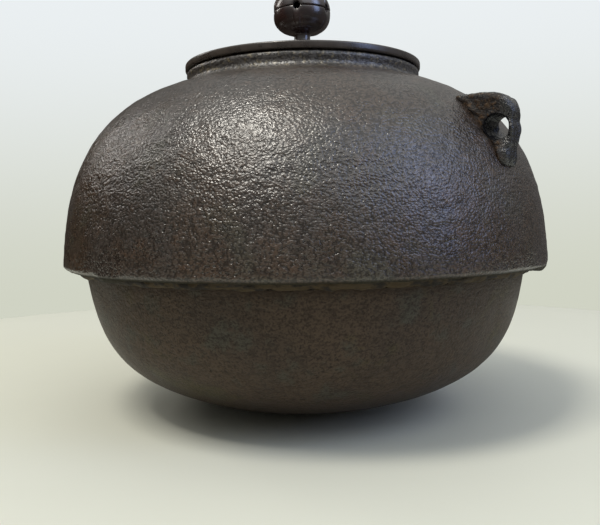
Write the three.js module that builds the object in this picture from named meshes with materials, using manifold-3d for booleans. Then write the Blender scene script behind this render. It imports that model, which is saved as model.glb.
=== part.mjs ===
// Tea ceremony water kettle: a cast iron body in two castings, two ring lugs, and a bronze lid with a
// pierced knob. Millimetres, +Z up, origin at the centre of the foot. The lugs stand on the X axis.
import * as THREE from "three";
import { mergeVertices } from "three/addons/utils/BufferGeometryUtils.js";
import Module from "manifold-3d";

// ---- Driving dimensions ----
const gap = 0.3; // between pieces that touch
const roundSteps = 48; // facets round the kettle
const smallSteps = 24; // facets round the knob and its fittings
const holeSteps = 12; // facets round the knob's holes and the lugs' pegs
const rimSteps = 3; // facets up each curve
const domeSteps = 11;
const neckSteps = 5;
const soleSteps = 3;
const flankSteps = 9;
const crownSteps = 6;

// Upper casting
const rimRadius = 123; // the widest place, just above the seam
const seamHeight = 74; // underside of the rim
const lipHeight = 172.5; // top of the neck
const mouthRadius = 55.8; // inside the neck
const lipWall = 4.5; // wall at the top of the neck
const neckHeight = 8.1; // shoulder to lip
const shoulderStep = 3.7; // shoulder stands out from the lip by this much
const bodyWall = 3.5;
const rimChamfer = 2;
const rimEdge = 1; // upright edge above the chamfer
const flareReach = 1.4; // how far the rim flares out from the dome
const flareRise = 18; // height of the flare above the seam
const flangeThickness = 6; // inward flange that carries the lower casting

// Lower casting
const rimOverhang = 10.5; // the rim stands out from the bowl by this much
const bowlWall = 3;
const collarHeight = 10; // part of the bowl that stands inside the upper casting
const collarChamfer = 1;
const soleRadius = 57.6; // where the flank turns into the sole
const soleRise = 7.3;
const footRadius = 27; // flat round it stands on

// Putty joint between the castings
const puttyWidth = 3;
const puttyBead = 2.2; // how far it is squeezed out under the rim
const puttyHeight = 8;

// Ring lugs
const lugThickness = 12.5;
const lugDrop = 37.3; // hole centre below the lip
const lugHoleRadius = 5.2;
const lugHoleStand = 5.7; // hole centre out from the dome
const lugOverHole = 15.3; // top ridge above the hole centre
const lugUnderHole = 16.2; // bottom end below it
const lugBeyondHole = 7.6; // outer face out from it
const lugShoulder = 4.5; // flat top ends this far inboard of the hole centre
const lugNose = 8; // outer corner above the hole centre
const lugTaper = 2.2; // outer face draws in towards the bottom
const lugBevel = 2.6; // rounds the edges all round
const tangRadius = 2.4; // cast-in pegs that key each lug into the wall
const tangDepth = 1.9;

// Lid
const lidOverhang = 0.7; // past the lip
const lidThickness = 2.8;
const lidEdge = 3.6;
const lidRound = 0.9; // softened top corner of the edge
const lidCrown = 7; // rise of the raised middle
const crownRadius = 15; // flat top of the raised middle
const crownFoot = 44; // where the rise begins
const skirtDepth = 9.5;
const skirtWall = 2.4;
const skirtClearance = 0.9;

// Knob and its rivet
const knobRadius = 14.8;
const knobLowerHeight = 11.6;
const knobUpperHeight = 12;
const knobWall = 1.6;
const knobLowerSquareness = 2.65; // 2 is an ellipse, more is squarer
const knobUpperSquareness = 2.05;
const knobNeckLength = 6.8;
const knobNeckWall = 1.7;
const knobFootSpread = 2; // foot of the neck out from its waist
const knobHoles = 5;
const knobHoleRadius = 1.8;
const firstHoleAngle = -59; // degrees from +X
const seamChamfer = 0.5;
const stemRadius = 2.2;
const stemClearance = 0.3;
const stemHeadRadius = 4.2;
const stemHeadHeight = 1.8;
const peenRadius = 3.8;
const peenHeight = 1.7;
const washerRadius = 10.5;
const washerThickness = 2.6;
const underWasherRadius = 8;
const underWasherThickness = 1.5;

// Sound plates on the inside of the bottom
const soundPlates = 3;
const plateLength = 28;
const plateWidth = 15;
const plateThickness = 1.8;
const plateRing = 38; // distance of the plates from the middle
const plateTurn = 90; // degrees from +X to the first plate
const bedMargin = 1.5; // lacquer shows round each plate
const bedThickness = 1.2; // at its thinnest

// ---- Materials ----
function finish(color, roughness, metalness) {
  return new THREE.MeshStandardMaterial({ color, roughness, metalness });
}
const castSkin = finish(0x3c332c, 0.6, 0.45);
const bowlSkin = finish(0x372d24, 0.55, 0.4);
const rustedIron = finish(0x4a3a2b, 0.75, 0.35);
const putty = finish(0x2c2a1c, 0.85, 0);
const bronze = finish(0x2b211d, 0.35, 0.8);
const knobBronze = finish(0x2a1512, 0.25, 0.7);
const plateIron = finish(0x35302c, 0.7, 0.5);
const lacquer = finish(0x1c1512, 0.3, 0);

// ---- Shape tools ----
const wasm = await Module();
wasm.setup();

const at = (r, z) => new THREE.Vector2(r, z);
const radians = THREE.MathUtils.degToRad;

// A curve from one point to another that leaves and arrives on the given headings (degrees, 0 is outwards
// and 90 is up). Each pull is a share of the straight distance between the points.
function bend(from, leaving, leavePull, to, arriving, arrivePull) {
  const reach = from.distanceTo(to);
  const heading = (degrees) => at(Math.cos(radians(degrees)), Math.sin(radians(degrees)));
  return new THREE.CubicBezierCurve(
    from,
    heading(leaving).multiplyScalar(leavePull * reach).add(from),
    heading(arriving).multiplyScalar(-arrivePull * reach).add(to),
    to,
  );
}

// The same curve moved to its left by a distance, as points.
function beside(curve, distance, steps) {
  return Array.from({ length: steps + 1 }, (_, i) => {
    const along = curve.getTangent(i / steps);
    return curve.getPoint(i / steps).add(at(-along.y, along.x).multiplyScalar(distance));
  });
}

// A solid of revolution round Z. The profile runs anticlockwise: outwards at the bottom, up the outside.
const turned = (profile, steps) => new THREE.LatheGeometry(profile, steps).rotateX(Math.PI / 2);
const ring = (profile, steps) => turned([...profile, profile[0]], steps);

function toSolid(geometry) {
  const bare = geometry.clone();
  bare.deleteAttribute("normal");
  bare.deleteAttribute("uv");
  const merged = mergeVertices(bare, 1e-4);
  return new wasm.Manifold(
    new wasm.Mesh({
      numProp: 3,
      vertProperties: new Float32Array(merged.attributes.position.array),
      triVerts: new Uint32Array(merged.index.array),
    }),
  );
}

function toGeometry(solid) {
  const mesh = solid.getMesh();
  const geometry = new THREE.BufferGeometry();
  geometry.setAttribute("position", new THREE.BufferAttribute(new Float32Array(mesh.vertProperties), 3));
  geometry.setIndex(new THREE.BufferAttribute(new Uint32Array(mesh.triVerts), 1));
  geometry.computeVertexNormals();
  return geometry;
}

function piece(name, geometry, material) {
  const mesh = new THREE.Mesh(geometry, material);
  mesh.name = name;
  return mesh;
}

const kettle = new THREE.Group();

// ---- Upper casting: rim, dome and neck ----
const bowlRadius = rimRadius - rimOverhang; // at the seam
const lipRadius = mouthRadius + lipWall;
const rimCurve = bend(
  at(rimRadius, seamHeight + rimChamfer + rimEdge), 93, 0.35,
  at(rimRadius - flareReach, seamHeight + flareRise), 97, 0.35,
);
const domeCurve = bend(
  at(rimRadius - flareReach, seamHeight + flareRise), 97, 0.35,
  at(lipRadius + shoulderStep, lipHeight - neckHeight), 165, 0.455,
);
const neckCurve = bend(
  at(lipRadius + shoulderStep, lipHeight - neckHeight), 165, 0.66,
  at(lipRadius, lipHeight), 62, 0.5,
);
const domeOutline = [...rimCurve.getPoints(rimSteps), ...domeCurve.getPoints(domeSteps).slice(1)];
const domeBeside = (distance) => [
  ...beside(rimCurve, distance, rimSteps),
  ...beside(domeCurve, distance, domeSteps).slice(1),
];

// Radius and outward direction of the dome at a height.
function domeAt(height) {
  const i = domeOutline.findIndex((p) => p.y >= height);
  const low = domeOutline[i - 1];
  const high = domeOutline[i];
  const share = (height - low.y) / (high.y - low.y);
  const along = high.clone().sub(low).normalize();
  return { radius: low.x + share * (high.x - low.x), outward: at(along.y, -along.x) };
}

const flangeBore = bowlRadius + gap + puttyWidth + gap;
const flangeTop = seamHeight + flangeThickness;
const innerWall = domeBeside(bodyWall).filter((p) => p.y > flangeTop + 1).reverse();
const shoulderInside = innerWall[0];
const upperProfile = [
  at(flangeBore, seamHeight),
  at(rimRadius - rimChamfer, seamHeight),
  at(rimRadius, seamHeight + rimChamfer),
  ...domeOutline,
  ...neckCurve.getPoints(neckSteps).slice(1),
  at(mouthRadius, lipHeight),
  at(mouthRadius, lipHeight - neckHeight),
  at((mouthRadius + shoulderInside.x) / 2, shoulderInside.y + bodyWall / 2),
  ...innerWall,
  at(innerWall.at(-1).x, flangeTop),
  at(flangeBore, flangeTop),
];

// Everything inside the outer skin, grown by a distance, to fit the lugs to.
function skin(growth) {
  const base = [at(0, seamHeight), at(rimRadius + growth, seamHeight)];
  return toSolid(turned([...base, ...domeBeside(-growth), at(0, lipHeight)], roundSteps));
}

// ---- Ring lugs ----
const lugHeight = lipHeight - lugDrop;
const lugHoleAt = domeAt(lugHeight).radius + lugHoleStand;
const lugTop = lugHeight + lugOverHole;
const lugBottom = lugHeight - lugUnderHole;
const lugOut = lugHoleAt + lugBeyondHole;

function lugBlank() {
  const buried = 2 * bodyWall; // the blank reaches this far into the dome before it is fitted
  const outline = new THREE.Shape();
  outline.moveTo(domeAt(lugTop).radius - buried, lugTop);
  outline.lineTo(lugHoleAt - lugShoulder, lugTop);
  outline.quadraticCurveTo(lugOut - lugTaper, lugTop - lugBevel, lugOut, lugHeight + lugNose);
  outline.quadraticCurveTo(lugOut, lugHeight, lugOut - lugTaper, lugBottom + lugTaper);
  outline.quadraticCurveTo(lugOut - 1.5 * lugTaper, lugBottom, lugOut - 2.5 * lugTaper, lugBottom);
  outline.lineTo(domeAt(lugBottom).radius - buried, lugBottom);
  const blank = new THREE.ExtrudeGeometry(outline, {
    depth: lugThickness - 2 * lugBevel,
    curveSegments: 6,
    bevelThickness: lugBevel,
    bevelSize: lugBevel,
    bevelOffset: -lugBevel,
    bevelSegments: 2,
  });
  const hole = new THREE.CylinderGeometry(lugHoleRadius, lugHoleRadius, 2 * lugThickness, smallSteps);
  return toSolid(blank.rotateX(Math.PI / 2).translate(0, lugThickness / 2 - lugBevel, 0)).subtract(
    toSolid(hole.translate(lugHoleAt, 0, lugHeight)),
  );
}

// Pegs along the wall's own direction, one above the hole and one below it.
function tangs(growth) {
  const upper = lugHeight + (lugOverHole + lugHoleRadius) / 2;
  const lower = lugHeight - (lugUnderHole + lugHoleRadius) / 2;
  return [upper, lower].map((height) => {
    const { radius, outward } = domeAt(height);
    const length = tangDepth + tangRadius + growth;
    const middle = (tangRadius - tangDepth - growth) / 2;
    const peg = new THREE.CylinderGeometry(tangRadius + growth, tangRadius + growth, length, holeSteps);
    peg.rotateZ(Math.atan2(outward.y, outward.x) - Math.PI / 2);
    peg.translate(radius + outward.x * middle, height + outward.y * middle, 0);
    return toSolid(peg.rotateX(Math.PI / 2));
  });
}

const fitted = tangs(0).reduce((lug, peg) => lug.add(peg), lugBlank().subtract(skin(gap)));
const lugShape = toGeometry(fitted);
let upperBody = toSolid(ring(upperProfile, roundSteps));
for (const socket of tangs(gap)) {
  upperBody = upperBody.subtract(socket).subtract(socket.rotate([0, 0, 180]));
}
kettle.add(piece("upper_body", toGeometry(upperBody), castSkin));
kettle.add(piece("ring_lug_right", lugShape, rustedIron));
const leftLug = piece("ring_lug_left", lugShape, rustedIron);
leftLug.rotation.z = Math.PI;
kettle.add(leftLug);

// ---- Lower casting ----
const soleCurve = bend(at(footRadius, 0), 8, 0.33, at(soleRadius, soleRise), 17, 0.33);
const flankCurve = bend(at(soleRadius, soleRise), 17, 0.53, at(bowlRadius, seamHeight), 81, 0.39);
const collarTop = seamHeight + collarHeight;
const bowlBeside = (distance) => [
  ...beside(soleCurve, distance, soleSteps),
  ...beside(flankCurve, distance, flankSteps).slice(1),
];
const bowlFloor = bowlBeside(bowlWall);
const bowlProfile = [
  at(0, 0),
  at(footRadius, 0),
  ...soleCurve.getPoints(soleSteps).slice(1),
  ...flankCurve.getPoints(flankSteps).slice(1),
  at(bowlRadius, collarTop - collarChamfer),
  at(bowlRadius - collarChamfer, collarTop),
  at(bowlRadius - bowlWall, collarTop),
  ...bowlFloor.slice().reverse(),
  at(0, bowlWall),
];
kettle.add(piece("lower_bowl", turned(bowlProfile, roundSteps), bowlSkin));

// ---- Putty joint ----
const puttyInside = bowlRadius + gap;
const puttyOutside = puttyInside + puttyWidth;
kettle.add(
  piece(
    "joint_putty",
    ring(
      [
        at(puttyInside, seamHeight - puttyBead),
        at(puttyInside + puttyBead / 2, seamHeight - puttyBead),
        at(puttyOutside, seamHeight),
        at(puttyOutside, seamHeight + puttyHeight),
        at(puttyInside, seamHeight + puttyHeight),
      ],
      roundSteps,
    ),
    putty,
  ),
);

// ---- Lid: flat border, raised middle, locating skirt ----
const lidRadius = lipRadius + lidOverhang;
const lidUnder = lipHeight + gap;
const lidTop = lidUnder + lidEdge;
const crownTop = lidTop + lidCrown;
const stemBore = stemRadius + stemClearance;
const skirtOutside = mouthRadius - skirtClearance;
const skirtInside = skirtOutside - skirtWall;
const crownCurve = bend(at(crownFoot, lidTop), 180, 0.4, at(crownRadius, crownTop), 180, 0.4);
const lidProfile = [
  at(skirtOutside, lidUnder - skirtDepth),
  at(skirtOutside, lidUnder),
  at(lidRadius - lidRound / 2, lidUnder),
  at(lidRadius, lidUnder + lidRound / 2),
  at(lidRadius, lidTop - lidRound),
  at(lidRadius - lidRound, lidTop),
  ...crownCurve.getPoints(crownSteps),
  at(stemBore, crownTop),
  at(stemBore, crownTop - lidThickness),
  ...beside(crownCurve, lidThickness, crownSteps).reverse(),
  at(skirtInside, lidTop - lidThickness),
  at(skirtInside, lidUnder - skirtDepth),
];
kettle.add(piece("lid_plate", ring(lidProfile, roundSteps), bronze));

// ---- Washers either side of the lid ----
const washerBase = crownTop + gap;
const washerTop = washerBase + washerThickness;
const washerProfile = [
  at(stemBore, washerBase),
  at(washerRadius, washerBase),
  at(washerRadius, washerBase + washerThickness / 3),
  at(washerRadius - washerThickness, washerTop),
  at(stemBore, washerTop),
];
kettle.add(piece("knob_washer", ring(washerProfile, smallSteps), knobBronze));

const underWasherTop = crownTop - lidThickness - gap;
const underWasherBase = underWasherTop - underWasherThickness;
const underWasherProfile = [
  at(stemBore, underWasherBase),
  at(underWasherRadius, underWasherBase),
  at(underWasherRadius, underWasherTop),
  at(stemBore, underWasherTop),
];
kettle.add(piece("under_washer", ring(underWasherProfile, smallSteps), bronze));

// ---- Knob: two pierced shells on a hollow neck, held by a rivet ----
const neckBase = washerTop + gap;
const knobBase = neckBase + knobNeckLength;
const knobSeam = knobBase + knobLowerHeight;
const neckWaist = stemBore + knobNeckWall;

// Half of a squarish ball: a point for each angle up from the seam, or down from it.
function shellPoint(degrees, height, inset) {
  const power = 2 / (degrees < 0 ? knobLowerSquareness : knobUpperSquareness);
  const along = Math.cos(radians(degrees)) ** power;
  const up = Math.abs(Math.sin(radians(degrees))) ** power;
  return at((knobRadius - inset) * along, Math.sign(degrees) * (height - inset) * up);
}
function shell(angles, height, inset) {
  return angles.map((angle) => shellPoint(angle, height, inset).add(at(0, knobSeam)));
}
const above = [12, 25, 38, 52, 68];
const below = above.map((angle) => -angle);

const neckJoinAngle = -78; // where the neck runs into the lower shell
const lowerProfile = [
  at(stemBore, neckBase),
  at(neckWaist + knobFootSpread, neckBase),
  at(neckWaist + knobFootSpread / 3, neckBase + knobNeckLength / 4),
  at(neckWaist, neckBase + knobNeckLength * 0.65),
  ...shell([neckJoinAngle, ...below.toReversed()], knobLowerHeight, 0),
  at(knobRadius, knobSeam - gap / 2 - seamChamfer),
  at(knobRadius - seamChamfer, knobSeam - gap / 2),
  at(knobRadius - knobWall, knobSeam - gap / 2),
  ...shell(below, knobLowerHeight, knobWall),
  at(stemHeadRadius + gap, knobBase + knobWall),
  at(stemBore, knobBase + knobWall),
];
const upperShellProfile = [
  at(0, knobSeam + knobUpperHeight - knobWall),
  ...shell(above.toReversed(), knobUpperHeight, knobWall),
  at(knobRadius - knobWall, knobSeam + gap / 2),
  at(knobRadius - seamChamfer, knobSeam + gap / 2),
  at(knobRadius, knobSeam + gap / 2 + seamChamfer),
  ...shell(above, knobUpperHeight, 0),
  at(0, knobSeam + knobUpperHeight),
];

// Round holes through the wall, centred on the seam.
function pierced(solid) {
  for (let i = 0; i < knobHoles; i++) {
    const drill = new THREE.CylinderGeometry(knobHoleRadius, knobHoleRadius, knobRadius, holeSteps);
    drill.rotateZ(Math.PI / 2).translate(knobRadius, 0, knobSeam);
    drill.rotateZ(radians(firstHoleAngle + (360 / knobHoles) * i));
    solid = solid.subtract(toSolid(drill));
  }
  return solid;
}
const lowerShell = pierced(toSolid(ring(lowerProfile, smallSteps)));
const upperShell = pierced(toSolid(turned(upperShellProfile, smallSteps)));
kettle.add(piece("knob_lower", toGeometry(lowerShell), knobBronze));
kettle.add(piece("knob_upper", toGeometry(upperShell), knobBronze));

const headBase = knobBase + knobWall + gap;
const peenTop = underWasherBase - gap;
const stemProfile = [
  at(0, peenTop - peenHeight),
  at(peenRadius * 0.6, peenTop - peenHeight),
  at(peenRadius, peenTop - peenHeight / 3),
  at(peenRadius, peenTop),
  at(stemRadius, peenTop),
  at(stemRadius, headBase),
  at(stemHeadRadius, headBase),
  at(stemHeadRadius, headBase + stemHeadHeight / 2),
  at(stemHeadRadius * 0.6, headBase + stemHeadHeight),
  at(0, headBase + stemHeadHeight),
];
kettle.add(piece("knob_stem", turned(stemProfile, smallSteps), knobBronze));

// ---- Sound plates, each on a bed of lacquer on the sloping floor ----
function floorAt(radius) {
  const i = bowlFloor.findIndex((p) => p.x >= radius);
  const inner = bowlFloor[i - 1];
  const outer = bowlFloor[i];
  const slope = (outer.y - inner.y) / (outer.x - inner.x);
  return { height: inner.y + slope * (radius - inner.x), tilt: Math.atan(slope) };
}
const interior = toSolid(
  turned([at(0, bowlWall + gap), ...bowlBeside(bowlWall + gap), at(0, seamHeight)], roundSteps),
);
const floor = floorAt(plateRing);

// A flat block lying along the floor, with its underside a given height above it.
function block(width, length, thickness, height) {
  const box = new THREE.BoxGeometry(width, length, thickness).translate(0, 0, height + thickness / 2);
  return box.rotateY(-floor.tilt).translate(plateRing, 0, floor.height);
}
const bedReach = bedThickness + bowlWall; // deep enough to meet the floor all over
const bedTop = gap + bedThickness;
const bedBlank = block(plateWidth + 2 * bedMargin, plateLength + 2 * bedMargin, bedReach, bedTop - bedReach);
const bedShape = toGeometry(toSolid(bedBlank).intersect(interior));
const plateShape = block(plateWidth, plateLength, plateThickness, bedTop + gap);
for (let i = 0; i < soundPlates; i++) {
  const turn = radians(plateTurn + (360 / soundPlates) * i);
  const bed = piece(`lacquer_bed_${i + 1}`, bedShape, lacquer);
  const plate = piece(`sound_plate_${i + 1}`, plateShape, plateIron);
  bed.rotation.z = turn;
  plate.rotation.z = turn;
  kettle.add(bed, plate);
}

export default kettle;
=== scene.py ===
import math

import bpy
import numpy as np
from mathutils import Matrix, Vector


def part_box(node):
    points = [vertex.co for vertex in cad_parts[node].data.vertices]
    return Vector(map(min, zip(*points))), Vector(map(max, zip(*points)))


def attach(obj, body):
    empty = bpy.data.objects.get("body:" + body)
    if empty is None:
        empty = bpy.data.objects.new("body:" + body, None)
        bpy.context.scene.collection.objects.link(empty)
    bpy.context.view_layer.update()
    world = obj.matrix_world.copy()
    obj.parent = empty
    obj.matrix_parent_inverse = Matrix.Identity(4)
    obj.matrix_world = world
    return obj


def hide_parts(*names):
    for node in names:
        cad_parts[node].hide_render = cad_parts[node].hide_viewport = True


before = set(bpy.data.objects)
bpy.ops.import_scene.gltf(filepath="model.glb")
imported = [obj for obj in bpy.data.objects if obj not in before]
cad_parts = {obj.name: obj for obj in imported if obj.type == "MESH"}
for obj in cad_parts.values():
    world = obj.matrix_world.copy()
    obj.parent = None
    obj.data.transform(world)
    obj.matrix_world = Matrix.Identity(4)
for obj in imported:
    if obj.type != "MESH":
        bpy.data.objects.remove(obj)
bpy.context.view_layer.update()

# Tea ceremony kettle: two iron castings with a putty joint, two lugs for lifting rings, a bronze lid
# with a pierced knob. Lengths are millimetres until a mesh is made. The lugs stand on the X axis.

mm = 0.001
bodyLow, bodyHigh = (np.array(corner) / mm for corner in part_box("upper_body"))
rimRadius, seamHeight, lipHeight = bodyHigh[0], bodyLow[2], bodyHigh[2]


def bend(start, leaving, leavePull, end, arriving, arrivePull, steps):
    # cubic from start to end on the given headings (degrees, 0 outwards, 90 up); pulls are shares of
    # the chord: (1-t)^3 start + 3(1-t)^2 t first + 3(1-t) t^2 second + t^3 end
    start, end = np.array(start, float), np.array(end, float)
    reach = np.hypot(*(end - start))
    leaving, arriving = math.radians(leaving), math.radians(arriving)
    first = start + np.array([math.cos(leaving), math.sin(leaving)]) * leavePull * reach
    second = end - np.array([math.cos(arriving), math.sin(arriving)]) * arrivePull * reach
    t = np.linspace(0, 1, steps + 1)[:, None]
    return (1 - t)**3 * start + 3 * (1 - t)**2 * t * first + 3 * (1 - t) * t**2 * second + t**3 * end


def line(start, end, steps):
    # evenly spaced points, both ends kept
    return np.linspace(start, end, steps + 1)


def headings(path):
    # unit direction of travel at each point of a path
    along = np.gradient(path, axis=0)
    return along / np.maximum(np.hypot(along[:, 0], along[:, 1]), 1e-9)[:, None]


def beside(path, distance):
    # the same path moved to its left by distance, along its normal
    along = headings(path)
    return path + distance * np.stack([-along[:, 1], along[:, 0]], axis=1)


def chain(*paths):
    # paths joined end to end, without the doubled points where they meet
    joined = np.vstack(paths)
    apart = np.hypot(*np.diff(joined, axis=0).T) > 1e-6
    return joined[np.concatenate([[True], apart])]


def softened(path, rounds, closed=False):
    # corners eased: each point becomes half itself and a quarter of each neighbour, so many times over
    for _ in range(rounds):
        before, after = np.roll(path, 1, axis=0), np.roll(path, -1, axis=0)
        eased = 0.5 * path + 0.25 * (before + after)
        if not closed:
            eased[0], eased[-1] = path[0], path[-1]
        path = eased
    return path


def around(columns):
    # one full turn in equal steps, counterclockwise from +X
    return np.linspace(0, 2 * np.pi, columns, endpoint=False)


def spun(profile, columns):
    # profile points (r, z) carried round Z: (r cos a, r sin a, z), rows along the profile, columns round
    turn = around(columns)[None, :]
    r, z = profile[:, 0][:, None], profile[:, 1][:, None]
    return np.stack([r * np.cos(turn), r * np.sin(turn), z + 0 * turn], axis=-1)


def outward(points, wrapRows):
    # unit normal of a grid: cross product of its column and row differences
    across = np.roll(points, -1, axis=1) - np.roll(points, 1, axis=1)
    if wrapRows:
        along = np.roll(points, -1, axis=0) - np.roll(points, 1, axis=0)
    else:
        along = np.gradient(points, axis=0)
    normal = np.cross(across, along)
    return normal / np.maximum(np.linalg.norm(normal, axis=-1, keepdims=True), 1e-12)


def scatter(ix, iy, iz, seed):
    # a repeatable number from 0 to 1 for each lattice point: its numbers multiplied by primes and mixed
    n = (ix * 73856093) ^ (iy * 19349663) ^ (iz * 83492791) ^ (seed * 265443576)
    n = ((n ^ (n >> 13)) * 1274126177) & 0xFFFFFFFF
    return ((n ^ (n >> 16)) & 0xFFFF) / 0xFFFF


def lumps(points, size, seed):
    # smooth noise from -1 to 1: lattice values blended between the eight corners of each cell, with
    # weights 3f^2 - 2f^3 along each axis
    place = points / size
    cell = np.floor(place).astype(np.int64)
    f = place - cell
    f = f * f * (3 - 2 * f)
    total = np.zeros(points.shape[:-1])
    for corner in range(8):
        dx, dy, dz = corner & 1, corner >> 1 & 1, corner >> 2
        weight = np.prod(np.abs(1 - np.array([dx, dy, dz]) - f), axis=-1)
        total += weight * scatter(cell[..., 0] + dx, cell[..., 1] + dy, cell[..., 2] + dz, seed)
    return 2 * total - 1


def ramped(value, low, high):
    # 0 below low, 1 above high, 3t^2 - 2t^3 between
    t = np.clip((value - low) / (high - low), 0, 1)
    return t * t * (3 - 2 * t)


def surface(name, points, wrapRows=False):
    # a mesh from a grid of points in mm: each cell a face, the last column joined to the first, and a
    # first or last row that shrinks to one point made a pole
    rows, columns = points.shape[:2]
    index = np.arange(rows * columns).reshape(rows, columns)
    for row in (0, rows - 1):
        if np.ptp(points[row], axis=0).max() < 1e-6:
            index[row] = index[row, 0]
    if wrapRows:
        index = np.vstack([index, index[:1]])
    right = np.roll(index, -1, axis=1)
    quads = np.stack([index[:-1], right[:-1], right[1:], index[1:]], axis=-1).reshape(-1, 4)
    used, quads = np.unique(quads, return_inverse=True)
    quads = quads.reshape(-1, 4)
    footPole, topPole = quads[:, 0] == quads[:, 1], quads[:, 2] == quads[:, 3]
    faces = quads[~(footPole | topPole)].tolist()
    faces += quads[footPole][:, [0, 2, 3]].tolist() + quads[topPole][:, [0, 1, 2]].tolist()
    mesh = bpy.data.meshes.new(name)
    mesh.from_pydata((points.reshape(-1, 3)[used] * mm).tolist(), [], faces)
    mesh.polygons.foreach_set("use_smooth", np.ones(len(mesh.polygons), dtype=bool))
    mesh.update()
    piece = bpy.data.objects.new(name, mesh)
    bpy.context.scene.collection.objects.link(piece)
    return piece


def standsFor(piece, node, body, material):
    # the piece takes the node's place, body and slot
    piece.data.materials.append(material)
    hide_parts(node)
    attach(piece, body)
    print(f"{piece.name}: {len(piece.data.polygons)} faces, for {node}")


def newMaterial(name, **values):
    # a material whose uniform values are set on the shader's own sockets (underscores for spaces)
    material = bpy.data.materials.new(name)
    material.use_nodes = True
    shader = material.node_tree.nodes["Principled BSDF"]
    for socket, value in values.items():
        shader.inputs[socket.replace("_", " ")].default_value = value
    return material, material.node_tree, shader


def add(tree, kind, settings=None, **inputs):
    # a node with its settings; inputs go by name (underscores for spaces) or by number (n0, n1)
    node = tree.nodes.new(kind)
    for key, value in (settings or {}).items():
        setattr(node, key, value)
    for key, value in inputs.items():
        name = int(key[1:]) if key[1:].isdigit() else key.replace("_", " ")
        socket = node.inputs[name]
        if isinstance(value, bpy.types.NodeSocket):
            tree.links.new(value, socket)
        else:
            socket.default_value = value
    return node


def places(tree, stretch=(1, 1, 1)):
    # Object coordinates in millimetres, stretched
    coordinates = add(tree, "ShaderNodeTexCoord").outputs["Object"]
    scale = tuple(share / mm for share in stretch)
    return add(tree, "ShaderNodeMapping", Vector=coordinates, Scale=scale).outputs[0]


def grain(tree, place, size, detail=3.0, rough=0.55, distort=0.0):
    # noise whose features are about size mm across
    node = add(tree, "ShaderNodeTexNoise", {"noise_type": "FBM"}, Vector=place, Scale=1 / size,
               Detail=detail, Roughness=rough, Distortion=distort)
    return node.outputs["Fac"]


def remap(tree, value, low, high, toLow=0.0, toHigh=1.0):
    # value carried from low..high to toLow..toHigh, smooth at both ends and held beyond them
    node = add(tree, "ShaderNodeMapRange", {"interpolation_type": "SMOOTHSTEP"}, n0=value, n1=low, n2=high,
               n3=toLow, n4=toHigh)
    return node.outputs[0]


def combine(tree, kind, first, second):
    # one operation of arithmetic on two values
    return add(tree, "ShaderNodeMath", {"operation": kind}, n0=first, n1=second).outputs[0]


def times(tree, first, second):
    # the product of two values
    return combine(tree, "MULTIPLY", first, second)


def plus(tree, first, *others):
    # the sum of all the values
    for other in others:
        first = combine(tree, "ADD", first, other)
    return first


def blended(tree, share, first, second):
    # colours mixed by a share from 0 to 1
    node = add(tree, "ShaderNodeMix", {"data_type": "RGBA"})
    for number, value in ((0, share), (6, first), (7, second)):
        if isinstance(value, bpy.types.NodeSocket):
            tree.links.new(value, node.inputs[number])
        else:
            node.inputs[number].default_value = value
    return node.outputs[2]


def heightOf(tree):
    # height above the foot, in mm
    coordinates = add(tree, "ShaderNodeTexCoord").outputs["Object"]
    z = add(tree, "ShaderNodeSeparateXYZ", Vector=coordinates).outputs["Z"]
    return times(tree, z, 1 / mm)


def embossed(tree, shader, height, distance):
    # bump from a height; distance is its depth in mm over a full swing of the value
    bump = add(tree, "ShaderNodeBump", Height=height, Distance=distance * mm, Strength=1.0)
    tree.links.new(bump.outputs[0], shader.inputs["Normal"])


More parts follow.
